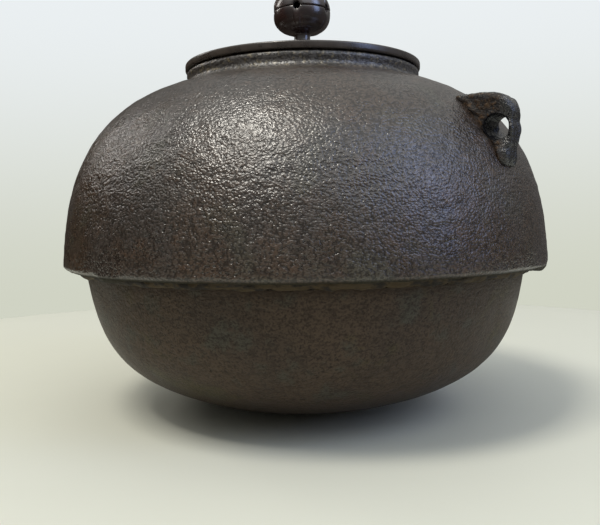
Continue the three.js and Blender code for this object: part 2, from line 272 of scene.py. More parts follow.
def makeCastSkin():
    # upper casting: granules, worm marks and pits over clouds of brown, grey, rust and olive
    look = dict(brown=(0.054, 0.032, 0.019, 1), grey=(0.048, 0.036, 0.03, 1),
                rust=(0.085, 0.046, 0.025, 1), olive=(0.058, 0.052, 0.034, 1),
                pit=(0.01, 0.007, 0.005, 1), rim=(0.029, 0.027, 0.019, 1),
                neck=(0.1, 0.093, 0.09, 1), ochre=(0.22, 0.18, 0.11, 1),
                granule=1.35, cell=1.15, worm=3.4, hole=1.9, cloud=38, rustPatch=12, olivePatch=27,
                fleck=2.6, sheen=16, depth=0.41)
    material, tree, shader = newMaterial("castSkin", Metallic=0.0, IOR=1.9)
    place, height = places(tree), heightOf(tree)
    neck = remap(tree, height, lipHeight - 9.5, lipHeight - 5.5)
    rim = remap(tree, height, seamHeight + 0.4, seamHeight + 1.6, 1, 0)
    # rounded granules, from noise less the distance to the nearest cell point, over coarser worm marks
    cells = add(tree, "ShaderNodeTexVoronoi", {"feature": "SMOOTH_F1"}, Vector=places(tree, (1, 1, 1.25)),
                Scale=1 / look["cell"], Smoothness=0.35, Detail=0.0).outputs["Distance"]
    fine = grain(tree, places(tree, (1, 1, 1.2)), look["granule"], detail=1.6, rough=0.6)
    granules = combine(tree, "SUBTRACT", fine, times(tree, combine(tree, "SUBTRACT", cells, 0.45), 0.55))
    worms = grain(tree, places(tree, (1, 1, 2.1)), look["worm"], detail=3.0, rough=0.55, distort=0.25)
    pits = remap(tree, grain(tree, place, look["hole"], detail=1.5, rough=0.5), 0.3, 0.4)
    hollows = times(tree, remap(tree, granules, 0.36, 0.5), remap(tree, worms, 0.34, 0.5, 0.35, 1))
    # colours laid one over another
    cloud = remap(tree, grain(tree, place, look["cloud"], detail=3), 0.4, 0.62)
    rusty = remap(tree, grain(tree, place, look["rustPatch"], detail=4, rough=0.65), 0.54, 0.7)
    green = remap(tree, grain(tree, place, look["olivePatch"], detail=3, rough=0.6), 0.55, 0.68)
    flecks = remap(tree, grain(tree, place, look["fleck"], detail=3, rough=0.6), 0.53, 0.62)
    colour = blended(tree, cloud, look["brown"], look["grey"])
    colour = blended(tree, times(tree, rusty, 0.6), colour, look["rust"])
    colour = blended(tree, times(tree, green, 0.6), colour, look["olive"])
    colour = blended(tree, times(tree, neck, 0.85), colour, look["neck"])
    colour = blended(tree, times(tree, flecks, neck), colour, look["ochre"])
    colour = blended(tree, remap(tree, hollows, 0, 1, 0.72, 0.0), colour, look["pit"])
    colour = blended(tree, remap(tree, pits, 0, 1, 0.6, 0.0), colour, look["pit"])
    colour = blended(tree, times(tree, rim, 0.85), colour, look["rim"])
    tree.links.new(colour, shader.inputs["Base Color"])
    rough = remap(tree, grain(tree, place, look["sheen"], detail=3), 0.35, 0.65, 0.26, 0.34)
    rough = plus(tree, rough, times(tree, neck, 0.1), times(tree, rim, 0.35))
    tree.links.new(rough, shader.inputs["Roughness"])
    # duller towards the rim, dullest on the edge, and painted shade in the pores: their reflection dimmed
    gloss = remap(tree, height, seamHeight + 1, seamHeight + 38, 0.3, 0.52)
    gloss = combine(tree, "SUBTRACT", gloss, times(tree, rim, 0.28))
    # painted shade: reflection dimmed in the pores
    gloss = times(tree, gloss, remap(tree, hollows, 0, 1, 0.75, 1.05))
    tree.links.new(gloss, shader.inputs["Specular IOR Level"])
    # flatter on the neck and on the edge
    relief = plus(tree, times(tree, granules, 0.9), times(tree, worms, 0.6), times(tree, pits, 0.22))
    smoother = combine(tree, "MAXIMUM", rim, times(tree, neck, 0.6))
    embossed(tree, shader, times(tree, relief, remap(tree, smoother, 0, 1, 1, 0.5)), look["depth"])
    return material


def makeBowlSkin():
    # lower casting: a finer, duller skin, darker in a band under the seam, and darkened towards the foot as
    # painted shade
    look = dict(brown=(0.074, 0.05, 0.033, 1), umber=(0.057, 0.039, 0.027, 1),
                slate=(0.06, 0.058, 0.044, 1), olive=(0.068, 0.058, 0.022, 1),
                pit=(0.016, 0.01, 0.006, 1), underSeamColour=(0.026, 0.014, 0.007, 1),
                fine=1.0, dab=3.2, speck=2.1, cloud=45, slatePatch=15, olivePatch=33, ragged=9, depth=0.5)
    material, tree, shader = newMaterial("bowlSkin", Metallic=0.0, Specular_IOR_Level=0.2)
    place, height = places(tree), heightOf(tree)
    broad = grain(tree, place, look["cloud"], detail=3)
    fine = grain(tree, place, look["fine"], detail=3, rough=0.62)
    dabs = grain(tree, places(tree, (1, 1, 1.9)), look["dab"], detail=3, rough=0.6)
    specks = remap(tree, grain(tree, place, look["speck"], detail=2), 0.28, 0.38)
    slate = remap(tree, grain(tree, place, look["slatePatch"], detail=4, rough=0.62), 0.53, 0.66)
    green = remap(tree, grain(tree, place, look["olivePatch"], detail=3, rough=0.6, distort=0.4), 0.56, 0.68)
    colour = blended(tree, remap(tree, broad, 0.4, 0.62), look["umber"], look["brown"])
    colour = blended(tree, times(tree, slate, 0.75), colour, look["slate"])
    colour = blended(tree, times(tree, green, 0.7), colour, look["olive"])
    colour = blended(tree, remap(tree, fine, 0.36, 0.54, 0.7, 0), colour, look["pit"])
    colour = blended(tree, remap(tree, dabs, 0.36, 0.52, 0.45, 0), colour, look["pit"])
    colour = blended(tree, remap(tree, specks, 0, 1, 0.7, 0), colour, look["pit"])
    # a dark band under the seam with a ragged lower edge, then painted shade towards the foot
    ragged = times(tree, grain(tree, place, look["ragged"], detail=4, rough=0.65), look["ragged"])
    # a darker band just under the seam, its lower edge ragged
    underSeamShare = remap(tree, plus(tree, height, ragged), seamHeight - 3.0, seamHeight + 2.5, 0, 0.8)
    colour = blended(tree, underSeamShare, colour, look["underSeamColour"])
    # painted shade: the base colour goes darker towards the foot, where the bowl is shaded
    colour = blended(tree, remap(tree, height, 8, 36, 0.72, 0), colour, look["pit"])
    tree.links.new(colour, shader.inputs["Base Color"])
    tree.links.new(remap(tree, broad, 0.35, 0.65, 0.42, 0.54), shader.inputs["Roughness"])
    relief = plus(tree, times(tree, fine, 0.75), times(tree, specks, 0.25), times(tree, dabs, 0.9))
    embossed(tree, shader, relief, look["depth"])
    return material


def makeLugIron(lug):
    # lugs: rusty flanks, an outer end worn bare and dark, pale crust along the top, and painted shade in the
    # hole: a near-black, dull bore
    look = dict(ochre=(0.082, 0.045, 0.021, 1), brown=(0.024, 0.014, 0.009, 1),
                black=(0.008, 0.008, 0.01, 1), crust=(0.24, 0.23, 0.19, 1), bore=(0.004, 0.004, 0.006, 1),
                mottle=2.4, streak=1.9, speck=0.9, grit=1.2, depth=0.65)
    material, tree, shader = newMaterial("lugIron", Metallic=0.0, IOR=1.75)
    place = places(tree)
    coordinates = add(tree, "ShaderNodeTexCoord")
    facing = add(tree, "ShaderNodeSeparateXYZ", Vector=coordinates.outputs["Normal"])
    where = add(tree, "ShaderNodeSeparateXYZ", Vector=coordinates.outputs["Object"])
    flank = add(tree, "ShaderNodeMath", {"operation": "ABSOLUTE"}, n0=facing.outputs["Y"]).outputs[0]
    outX = add(tree, "ShaderNodeMath", {"operation": "ABSOLUTE"}, n0=where.outputs["X"]).outputs[0]
    # distance from the hole's axis in mm: the root of dx^2 + dz^2
    dx = combine(tree, "SUBTRACT", times(tree, outX, 1 / mm), lug["holeX"])
    dz = combine(tree, "SUBTRACT", times(tree, where.outputs["Z"], 1 / mm), lug["holeZ"])
    squares = plus(tree, times(tree, dx, dx), times(tree, dz, dz))
    away = add(tree, "ShaderNodeMath", {"operation": "SQRT"}, n0=squares).outputs[0]
    # painted shade inside the ring hole: near its wall the colour goes almost black and the reflection dims
    boreShadeStart, boreShadeEnd = lug["holeRadius"] + 0.2, lug["holeRadius"] + 1.1
    mottle = grain(tree, place, look["mottle"], detail=4, rough=0.68)
    streaks = grain(tree, places(tree, (0.8, 1, 1.1)), look["streak"], detail=3, rough=0.6)
    outer = combine(tree, "MAXIMUM", remap(tree, dx, 0.0, 5.0), remap(tree, flank, 0.75, 0.4))
    speck = remap(tree, grain(tree, place, look["speck"], detail=2, rough=0.6), 0.56, 0.64)
    top = times(tree, remap(tree, facing.outputs["Z"], 0.2, 0.8, 0.05, 1.0), remap(tree, dz, 4, 8))
    colour = blended(tree, remap(tree, mottle, 0.46, 0.6), look["brown"], look["ochre"])
    colour = blended(tree, remap(tree, streaks, 0.44, 0.54, 0.85, 0), colour, look["black"])
    colour = blended(tree, outer, colour, look["black"])
    colour = blended(tree, times(tree, speck, top), colour, look["crust"])
    colour = blended(tree, remap(tree, away, boreShadeStart, boreShadeEnd, 1, 0), colour, look["bore"])
    tree.links.new(colour, shader.inputs["Base Color"])
    tree.links.new(remap(tree, outer, 0, 1, 0.55, 0.22), shader.inputs["Roughness"])
    gloss = times(tree, remap(tree, outer, 0, 1, 0.2, 0.5), remap(tree, away, boreShadeStart, boreShadeEnd, 0.3, 1))
    tree.links.new(gloss, shader.inputs["Specular IOR Level"])
    relief = plus(tree, grain(tree, place, look["grit"], detail=3, rough=0.62),
                  times(tree, streaks, remap(tree, outer, 0, 1, 0.9, 0.1)))
    embossed(tree, shader, relief, look["depth"])
    return material


def makePutty():
    # putty in the corner under the rim: dark lacquer with paler iron powder
    look = dict(dark=(0.012, 0.008, 0.005, 1), pale=(0.05, 0.033, 0.014, 1), patch=7, grit=1.3, depth=0.4)
    material, tree, shader = newMaterial("jointPutty", Metallic=0.0, Roughness=0.7, Specular_IOR_Level=0.3)
    mottle = grain(tree, places(tree, (1, 1, 1.6)), look["patch"], detail=4, rough=0.62)
    colour = blended(tree, remap(tree, mottle, 0.42, 0.56), look["dark"], look["pale"])
    tree.links.new(colour, shader.inputs["Base Color"])
    embossed(tree, shader, grain(tree, places(tree), look["grit"], detail=3), look["depth"])
    return material


def makeBronze(name, dark, light, roughLow, roughHigh, index):
    # patinated bronze: a thin brown skin, cloudy in colour and gloss
    look = dict(cloud=9, grain=0.8, depth=0.03)
    material, tree, shader = newMaterial(name, Metallic=0.0, IOR=index)
    place = places(tree)
    cloud = grain(tree, place, look["cloud"], detail=4, rough=0.6)
    colour = blended(tree, remap(tree, cloud, 0.38, 0.62), dark, light)
    tree.links.new(colour, shader.inputs["Base Color"])
    tree.links.new(remap(tree, cloud, 0.35, 0.65, roughLow, roughHigh), shader.inputs["Roughness"])
    embossed(tree, shader, grain(tree, place, look["grain"], detail=3, rough=0.6), look["depth"])
    return material


def makePlateIron():
    # sound plates: dark iron with patches of rust scale
    look = dict(iron=(0.045, 0.04, 0.037, 1), scale=(0.1, 0.055, 0.03, 1), patch=3.5, depth=0.2)
    material, tree, shader = newMaterial("plateIron", Metallic=0.2)
    scale = grain(tree, places(tree), look["patch"], detail=4, rough=0.65)
    colour = blended(tree, remap(tree, scale, 0.42, 0.6), look["iron"], look["scale"])
    tree.links.new(colour, shader.inputs["Base Color"])
    tree.links.new(remap(tree, scale, 0.3, 0.7, 0.45, 0.8), shader.inputs["Roughness"])
    embossed(tree, shader, scale, look["depth"])
    return material


def makeLacquer():
    # lacquer under the plates: black to brown, glossy, with the waves it dried in
    look = dict(black=(0.012, 0.009, 0.008, 1), brown=(0.03, 0.018, 0.012, 1), wave=5, depth=0.15)
    material, tree, shader = newMaterial("lacquerBed", Metallic=0.0)
    flow = grain(tree, places(tree), look["wave"], detail=3)
    tree.links.new(blended(tree, flow, look["black"], look["brown"]), shader.inputs["Base Color"])
    tree.links.new(remap(tree, flow, 0.3, 0.7, 0.15, 0.35), shader.inputs["Roughness"])
    embossed(tree, shader, flow, look["depth"])
    return material


def makeCamera():
    # eye level a little under the shoulder, in front and to the right; its axes are side, up and back
    view = dict(place=(251.0, -278.8, 100.4), ahead=(-0.6726, 0.7366, -0.0711),
                up=(-0.0387, 0.061, 0.9974), lens=42.0, sensor=36.0, near=0.01)
    camera = bpy.data.objects.new("camera", bpy.data.cameras.new("camera"))
    camera.data.lens = view["lens"]
    camera.data.sensor_width = view["sensor"]
    camera.data.clip_start = view["near"]
    bpy.context.scene.collection.objects.link(camera)
    back = -Vector(view["ahead"]).normalized()
    side = Vector(view["up"]).cross(back).normalized()
    turn = Matrix((side, back.cross(side), back)).transposed().to_4x4()
    camera.matrix_world = Matrix.Translation(Vector(view["place"]) * mm) @ turn
    bpy.context.scene.camera = camera


def makeLight(name, azimuth, elevation, distance, size, power, colour):
    # a soft lamp that faces a point 0.1 m above the foot; azimuth 0 is -Y and 90 is +X
    a, e = math.radians(azimuth), math.radians(elevation)
    back = Vector((math.sin(a) * math.cos(e), -math.cos(a) * math.cos(e), math.sin(e)))
    lamp = bpy.data.lights.new(name, "AREA")
    lamp.shape = "RECTANGLE"
    lamp.size, lamp.size_y = size
    lamp.energy = power
    lamp.color = colour
    light = bpy.data.objects.new(name, lamp)
    turn = back.to_track_quat("Z", "Y").to_matrix().to_4x4()
    light.matrix_world = Matrix.Translation(Vector((0, 0, 0.1)) + back * distance) @ turn
    light.visible_camera = False
    bpy.context.scene.collection.objects.link(light)


def makeRoom():
    # pale wall tones by height for the eye; for the light a dimmer room, bright overhead and dark
    # towards darkSide
    look = dict(wallLow=(0.63, 0.65, 0.55, 1), wallHigh=(0.83, 0.87, 0.89, 1),
                side=(0.12, 0.115, 0.11, 1), ceiling=(0.66, 0.67, 0.65, 1),
                dark=(0.035, 0.028, 0.022, 1), darkSide=(-0.93, -0.1, -0.35))
    world = bpy.data.worlds.new("paleRoom")
    world.use_nodes = True
    tree = world.node_tree
    aim = add(tree, "ShaderNodeTexCoord").outputs["Generated"]
    rise = add(tree, "ShaderNodeSeparateXYZ", Vector=aim).outputs["Z"]
    wall = blended(tree, remap(tree, rise, -0.13, 0.3), look["wallLow"], look["wallHigh"])
    room = blended(tree, remap(tree, rise, 0.0, 0.9), look["side"], look["ceiling"])
    toDark = add(tree, "ShaderNodeVectorMath", {"operation": "DOT_PRODUCT"}, n0=aim, n1=look["darkSide"])
    room = blended(tree, remap(tree, toDark.outputs["Value"], 0.15, 0.75), room, look["dark"])
    seen = add(tree, "ShaderNodeLightPath").outputs["Is Camera Ray"]
    tree.links.new(blended(tree, seen, room, wall), tree.nodes["Background"].inputs["Color"])
    bpy.context.scene.world = world


def makeStudio():
    # a round pale table with a soft edge, the room and four lamps
    table = dict(radius=425.0, drop=25.0, clear=0.2, colour=(0.78, 0.79, 0.69, 1), shade=0.97, patch=60)
    radius, drop = table["radius"], table["drop"]
    edge = bend((radius, 0), 0, 0.5, (radius + drop, -drop), -90, 0.5, 8)
    top = chain(line((0, 0), (radius, 0), 12), edge)[::-1]
    floor = surface("tableTop", spun(top, 128) - np.array([0, 0, table["clear"]]))
    material, tree, shader = newMaterial("palePaint", Roughness=0.5)
    mottle = grain(tree, places(tree), table["patch"], detail=2)
    shade = tuple(c * table["shade"] for c in table["colour"][:3]) + (1,)
    tree.links.new(blended(tree, mottle, shade, table["colour"]), shader.inputs["Base Color"])
    floor.data.materials.append(material)
    makeRoom()
    bpy.context.scene.view_settings.view_transform = "Standard"
    makeLight("ceilingLamp", 0, 61, 2.2, (0.6, 0.6), 26, (1.0, 0.96, 0.87))
    makeLight("wideWindow", 80, 46, 1.9, (2.0, 1.2), 4, (0.8, 0.9, 1.0))
    makeLight("blueWindow", 104, 28, 1.5, (0.55, 0.95), 4.3, (0.42, 0.56, 1.0))
    makeLight("leftWindow", -75, 31, 1.5, (0.25, 0.5), 2.4, (1.0, 0.97, 0.92))
    print("studio: table, room and four lights")


body = dict(bowlRadius=rimRadius - 10.5, mouthRadius=55.8, lipWall=4.5, neckHeight=8.1, shoulderStep=3.7,
            wall=3.5, rimChamfer=2.0, rimEdge=1.0, flareReach=1.4, flareRise=18.0, flange=6.0,
            puttyWidth=3.0, gap=0.3)
lipRadius = body["mouthRadius"] + body["lipWall"]
flangeBore = body["bowlRadius"] + 2 * body["gap"] + body["puttyWidth"]
shoulder = (lipRadius + body["shoulderStep"], lipHeight - body["neckHeight"])
flareTop = (rimRadius - body["flareReach"], seamHeight + body["flareRise"])
rimTop = (rimRadius, seamHeight + body["rimChamfer"] + body["rimEdge"])
rimCurve = bend(rimTop, 93, 0.35, flareTop, 97, 0.35, 12)
domeCurve = bend(flareTop, 97, 0.35, shoulder, 165, 0.455, 76)


def domeRadius(height):
    # outside radius of the upper casting at a height, read off its outline
    outline = chain(rimCurve, domeCurve)
    return np.interp(height, outline[:, 1], outline[:, 0])


lug = dict(holeZ=lipHeight - 37.3, holeRadius=5.1, stand=5.7, half=6.25, buried=2.0, outerRound=2.7,
           holeRound=0.7)
lug["holeX"] = domeRadius(lug["holeZ"]) + lug["stand"]


def makeUpperCasting(material):
    # closed profile spun round Z, its outside pushed along the normal by swell * noise + skin * noise
    look = dict(columns=620, lipRound=2.2, swell=0.3, swellSize=38.0, skin=0.2, skinSize=5.0,
                ragged=0.4, dripAngle=-89.0, dripWidth=3.4, dripDepth=1.6,
                burrStart=4.0, burrEnd=17.0, burrDepth=1.9)
    mouth, gap, wall = body["mouthRadius"], body["gap"], body["wall"]
    neck = bend(shoulder, 165, 0.66, (lipRadius, lipHeight - look["lipRound"]), 66, 0.45, 12)
    lip = bend((lipRadius, lipHeight - look["lipRound"]), 88, 0.55,
               (lipRadius - look["lipRound"], lipHeight), 180, 0.55, 5)
    inside = beside(chain(rimCurve[::4], domeCurve[::6]), wall)
    inside = inside[inside[:, 1] > seamHeight + body["flange"] + 2][::-1]
    throat = bend((mouth, lipHeight - 5), 270, 0.4, inside[0], 345, 0.4, 6)
    flangeTop = seamHeight + body["flange"]
    underside = chain(line((flangeBore, seamHeight), (rimRadius - 2, seamHeight), 5),
                      line((rimRadius - 2, seamHeight), (rimRadius, seamHeight + 2), 4),
                      line((rimRadius, seamHeight + 2), rimTop, 2))
    profile = chain(softened(chain(underside, rimCurve[:3]), 1), rimCurve[2:], domeCurve, neck, lip,
                    line((lipRadius - look["lipRound"], lipHeight), (mouth + 0.8, lipHeight), 3),
                    bend((mouth + 0.8, lipHeight), 180, 0.5, (mouth, lipHeight - 0.8), 270, 0.5, 2),
                    line((mouth, lipHeight - 0.8), (mouth, lipHeight - 5), 3), throat, inside,
                    bend(inside[-1], 268, 0.5, (flangeBore, flangeTop), 180, 0.5, 4),
                    line((flangeBore, flangeTop), (flangeBore, seamHeight), 3)[:-1])
    points = spun(profile, look["columns"])
    normal = outward(points, True)
    z = points[..., 2]
    radius = np.hypot(points[..., 0], points[..., 1])
    outside = normal[..., 0] * points[..., 0] + normal[..., 1] * points[..., 1] + normal[..., 2] * 40 > 0
    cast = outside * ramped(z, seamHeight + 1, seamHeight + 4)
    cast = cast * (1 - ramped(z, lipHeight - 9, lipHeight - 5))
    flat, size = points * np.array([1, 1, 1.7]), look["skinSize"]
    push = look["skin"] * (lumps(flat, size, 3) + 0.5 * lumps(flat, size * 1.9, 4))
    push += look["swell"] * lumps(points, look["swellSize"], 5)
    points = points + normal * (push * cast)[..., None]
    # ragged lower edge all round, with one drip and one burr
    angle = np.degrees(np.arctan2(points[..., 1], points[..., 0]))
    nearEdge = 1 - ramped(z, seamHeight + 1, seamHeight + 7)
    nearEdge = nearEdge * ramped(radius, rimRadius - 6, rimRadius - 3)
    rag = look["ragged"] * np.minimum(0.2, lumps(points, 5.0, 8) + 0.5 * lumps(points, 2.4, 9))
    drip = look["dripDepth"] * np.exp(-((angle - look["dripAngle"]) / look["dripWidth"])**4)
    start, end = look["burrStart"], look["burrEnd"]
    burr = look["burrDepth"] * np.clip((angle - start) / (end - start), 0, 1)
    burr *= 1 - ramped(angle, end, end + 4)
    points[..., 2] -= nearEdge * (rag + drip + burr)
    # nothing past the rim
    radius = np.hypot(points[..., 0], points[..., 1])
    points[..., :2] *= np.minimum(1, rimRadius / radius)[..., None]
    # the dome hollowed where the ring holes pass it
    side = np.sign(points[..., 0])
    dx, dz = points[..., 0] * side - lug["holeX"], z - lug["holeZ"]
    away = np.hypot(dx, dz)
    across = 1 - ramped(np.abs(points[..., 1]), lug["half"] + 0.2, lug["half"] + 4)
    short = np.maximum(lug["holeRadius"] + 0.9 - away, 0) * outside * across * (np.abs(dx) < 20)
    points[..., 0] += side * short * dx / np.maximum(away, 0.1)
    piece = surface("upperCasting", points, wrapRows=True)
    standsFor(piece, "upper_body", "kettle", material)


bowl = dict(columns=480, soleRadius=57.6, soleRise=7.3, footRadius=27.0, wall=3.0, collar=10.0,
            swell=0.35, swellSize=45.0, skin=0.07, skinSize=3.6)


def bowlCurves():
    # the outside in two bends: shallow sole, then flank up to the seam
    soleTop = (bowl["soleRadius"], bowl["soleRise"])
    sole = bend((bowl["footRadius"], 0), 8, 0.33, soleTop, 17, 0.33, 12)
    flank = bend(soleTop, 17, 0.53, (body["bowlRadius"], seamHeight), 81, 0.39, 74)
    return sole, flank


def makeLowerCasting(material):
    # profile spun round Z from the foot's centre to the inside's centre, its outside pushed by noise
    radius, wall = body["bowlRadius"], bowl["wall"]
    sole, flank = bowlCurves()
    inside = beside(chain(sole[::3], flank[::3]), wall)[::-1]
    top = seamHeight + bowl["collar"]
    profile = chain(line((0, 0), (bowl["footRadius"], 0), 6), sole, flank,
                    line((radius, seamHeight), (radius, top - 1), 6),
                    bend((radius, top - 1), 90, 0.5, (radius - 1, top), 180, 0.5, 4),
                    line((radius - 1, top), (radius - wall, top), 2),
                    line((radius - wall, top), inside[0], 3), inside,
                    line((inside[-1][0], wall), (0, wall), 4))
    points = spun(softened(profile, 1), bowl["columns"])
    normal = outward(points, False)
    z = points[..., 2]
    outside = normal[..., 0] * points[..., 0] + normal[..., 1] * points[..., 1] - normal[..., 2] * 40 > 0
    cast = outside * ramped(z, 0.3, 4) * (1 - ramped(z, seamHeight - 1, seamHeight + 1))
    push = bowl["skin"] * lumps(points, bowl["skinSize"], 13)
    push += bowl["swell"] * lumps(points, bowl["swellSize"], 15)
    points = points + normal * (push * cast)[..., None]
    piece = surface("lowerCasting", points)
    standsFor(piece, "lower_bowl", "kettle", material)


def makeJointPutty(material):
    # ring spun round Z, its lower bead pushed along the normal by rough * noise
    look = dict(columns=520, bead=3.0, height=8.0, rough=0.8)
    inner = body["bowlRadius"] + body["gap"]
    outer = inner + body["puttyWidth"]
    low, high = seamHeight - look["bead"], seamHeight + look["height"]
    profile = chain(bend((inner - 0.3, low), 0, 0.4, (outer - 0.2, seamHeight - 0.2), 80, 0.4, 8),
                    line((outer, seamHeight + 0.2), (outer, high), 5),
                    line((outer, high), (inner, high), 3),
                    line((inner, high), (inner - 0.3, low), 6)[:-1])
    points = spun(profile, look["columns"])
    normal = outward(points, True)
    bead = 1 - ramped(points[..., 2], seamHeight - 0.4, seamHeight)
    push = look["rough"] * (lumps(points, 6.0, 21) + 0.7 * lumps(points, 2.2, 22))
    points = points + normal * (push * bead)[..., None]
    piece = surface("jointPutty", points, wrapRows=True)
    standsFor(piece, "joint_putty", "kettle", material)


def lugSection(far, half):
    # rounded box between the hole's wall and the outline, one column for each angle round the hole
    hole = lug["holeRadius"] + 0 * far
    soft = np.minimum(lug["outerRound"], 0.47 * (far - hole))
    eased = np.minimum(lug["holeRound"], 0.4 * (far - hole))

    def straight(start, end, steps):
        # start + t (end - start), its end left to the next part
        t = np.arange(steps)[:, None] / steps
        return [start[k] + t * (end[k] - start[k]) for k in (0, 1)]

    def corner(middle, radius, low, high, steps):
        # arc of the radius round middle, from low to high degrees
        a = np.radians(low + np.arange(steps)[:, None] / steps * (high - low))
        return [middle[0] + radius * np.cos(a), middle[1] + radius * np.sin(a)]

    parts = [straight((far, 0 * far), (far, soft - half), 5),
             corner((far - soft, soft - half), soft, 0, -90, 8),
             straight((far - soft, -half), (hole + eased, -half), 14),
             corner((hole + eased, eased - half), eased, -90, -180, 5),
             straight((hole, eased - half), (hole, half - eased), 12),
             corner((hole + eased, half - eased), eased, 180, 90, 5),
             straight((hole + eased, half), (far - soft, half), 14),
             corner((far - soft, half - soft), soft, 90, 0, 8),
             straight((far, half - soft), (far, 0 * far), 5)]
    return [np.vstack([part[k] for part in parts]) for k in (0, 1)]


def makeLug(name, node, turned, material):
    # a section carried round the hole: x = holeX + out cos a, z = holeZ + out sin a, y across
    look = dict(columns=240, lump=0.4, lumpSize=4.6, grit=0.2, gritSize=1.5, crust=0.5, nose=2.0, foot=1.0,
                outline=[(-24, 15.2), (-12, 15.0), (-5.5, 15.3), (0.2, 14.3), (4.0, 12.2), (6.5, 8.6),
                         (7.2, 5.2), (6.2, 2.6), (6.7, -0.4), (6.3, -6.2), (5.0, -11), (5.4, -13.6),
                         (3.0, -16.2), (-0.4, -15.6)])
    # outline from the side: distance out from the hole's centre, height above it
    corners = np.array(look["outline"])
    dense = np.linspace(0, len(corners) - 1, 160)
    edge = np.stack([np.interp(dense, range(len(corners)), corners[:, k]) for k in (0, 1)], axis=1)
    heights = np.linspace(-14, 17, 60)
    root = domeRadius(lug["holeZ"] + heights) - lug["buried"] - lug["holeX"]
    loop = np.vstack([softened(edge, 14), np.stack([root, heights], axis=1)])
    turn = around(look["columns"])
    bearing = np.arctan2(loop[:, 1], loop[:, 0]) % (2 * np.pi)
    order = np.argsort(bearing)
    far = np.interp(turn, bearing[order], np.hypot(loop[:, 0], loop[:, 1])[order], period=2 * np.pi)
    far = np.maximum(softened(far[:, None], 2, closed=True)[:, 0], lug["holeRadius"] + 1.2)[None, :]
    # narrower at the outer end and at the foot
    slimmed = look["nose"] * ramped(np.cos(turn), 0.2, 0.9) + look["foot"] * ramped(-np.sin(turn), 0.2, 0.9)
    out, across = lugSection(far, lug["half"] - slimmed[None, :])
    x, z = lug["holeX"] + out * np.cos(turn), lug["holeZ"] + out * np.sin(turn)
    points = np.stack([x, across, z], axis=-1)
    # grit over the whole lug, thicker crust where it grows out of the dome
    normal = outward(points, True)
    stand = points[..., 0] - domeRadius(points[..., 2])
    clear = ramped(stand, -1.5, 1)
    root = 1 - ramped(stand, 1, 5)
    push = look["lump"] * lumps(points, look["lumpSize"], 31)
    push += look["grit"] * lumps(points, look["gritSize"], 32)
    push += root * look["crust"] * (1 + 2 * lumps(points, 2.6, 33))
    points = points + normal * (push * clear)[..., None]
    points[..., 0] = np.minimum(points[..., 0], bodyHigh[0])
    if turned:
        points = points * np.array([-1, -1, 1])
    piece = surface(name, points, wrapRows=True)
    standsFor(piece, node, "kettle", material)


def makeLid(material):
    # closed profile spun round Z: skirt, flat edge, raised crown with the rivet's bore
    look = dict(columns=256, overhang=0.7, gap=0.3, edge=3.6, thick=2.8, crown=7.0, crownRadius=15.0,
                crownFoot=44.0, skirtDepth=9.5, skirtWall=2.4, skirtClearance=0.9, bore=2.5, round=1.0)
    radius = lipRadius + look["overhang"]
    under = lipHeight + look["gap"]
    top = under + look["edge"]
    crownTop = top + look["crown"]
    skirt = body["mouthRadius"] - look["skirtClearance"]
    inner = skirt - look["skirtWall"]
    low, inside = under - look["skirtDepth"], top - look["thick"]
    r, foot, bore = look["round"], look["crownFoot"], look["bore"]
    crown = bend((foot, top), 180, 0.4, (look["crownRadius"], crownTop), 180, 0.4, 24)
    profile = chain(line((inner + 0.5, low), (skirt - 0.5, low), 2),
                    line((skirt, low + 0.5), (skirt, under - 0.2), 5),
                    line((skirt + 0.2, under), (radius - r, under + 0.05), 5),
                    bend((radius - r, under + 0.05), 0, 0.5, (radius, under + r), 90, 0.5, 5),
                    bend((radius, top - r), 90, 0.5, (radius - r, top), 180, 0.5, 5),
                    line((radius - r, top), (foot, top), 10), crown,
                    line((look["crownRadius"], crownTop), (bore, crownTop), 6),
                    line((bore, crownTop), (bore, crownTop - look["thick"]), 3),
                    beside(crown, look["thick"])[::-1],
                    line((foot, inside), (inner, inside), 4),
                    line((inner, inside), (inner, low + 0.5), 5))
    piece = surface("lidPlate", spun(profile, look["columns"]), wrapRows=True)
    standsFor(piece, "lid_plate", "lid", material)
    return dict(crownTop=crownTop, crownUnder=crownTop - look["thick"], bore=bore)


def makeWashers(lid, bronze, knobBronze):
    # two profiles spun round Z; the upper one shrinks between its petals by scallop (1 - sqrt|cos(n a / 2)|)
    look = dict(columns=192, petals=16, radius=10.5, thick=2.6, gap=0.3, scallop=0.55, groove=0.35, flat=5.8,
                underColumns=128, underRadius=8.0, underThick=1.5)
    bore, r, flat = lid["bore"], look["radius"] - 0.2, look["flat"]
    low = lid["crownTop"] + look["gap"]
    top = low + look["thick"]
    profile = chain(line((bore, low), (r - 0.1, low), 8),
                    bend((r - 0.1, low), 0, 0.4, (r, low + 0.9), 100, 0.4, 5),
                    bend((r, low + 0.9), 130, 0.4, (flat, top), 178, 0.4, 16),
                    line((flat, top), (bore, top), 4), line((bore, top), (bore, low), 3)[:-1])
    points = spun(profile, look["columns"])
    turn = around(look["columns"])[None, :]
    reach = ramped(np.hypot(points[..., 0], points[..., 1]), 5.5, look["radius"])
    valley = 1 - np.sqrt(np.abs(np.cos(turn * look["petals"] / 2)))
    shrink = 1 - reach * look["scallop"] * valley / look["radius"]
    points[..., :2] *= shrink[..., None]
    points[..., 2] -= look["groove"] * valley * reach * (points[..., 2] > low + 0.8)
    piece = surface("knobWasher", points, wrapRows=True)
    standsFor(piece, "knob_washer", "lid", knobBronze)
    knobFoot = top + look["gap"]
    top = lid["crownUnder"] - look["gap"]
    low = top - look["underThick"]
    r = look["underRadius"]
    profile = chain(line((bore, low), (r - 0.4, low), 5), line((r, low + 0.4), (r, top - 0.2), 3),
                    line((r - 0.2, top), (bore, top), 5), line((bore, top), (bore, low), 3)[:-1])
    piece = surface("underWasher", spun(profile, look["underColumns"]), wrapRows=True)
    standsFor(piece, "under_washer", "lid", bronze)
    return knobFoot


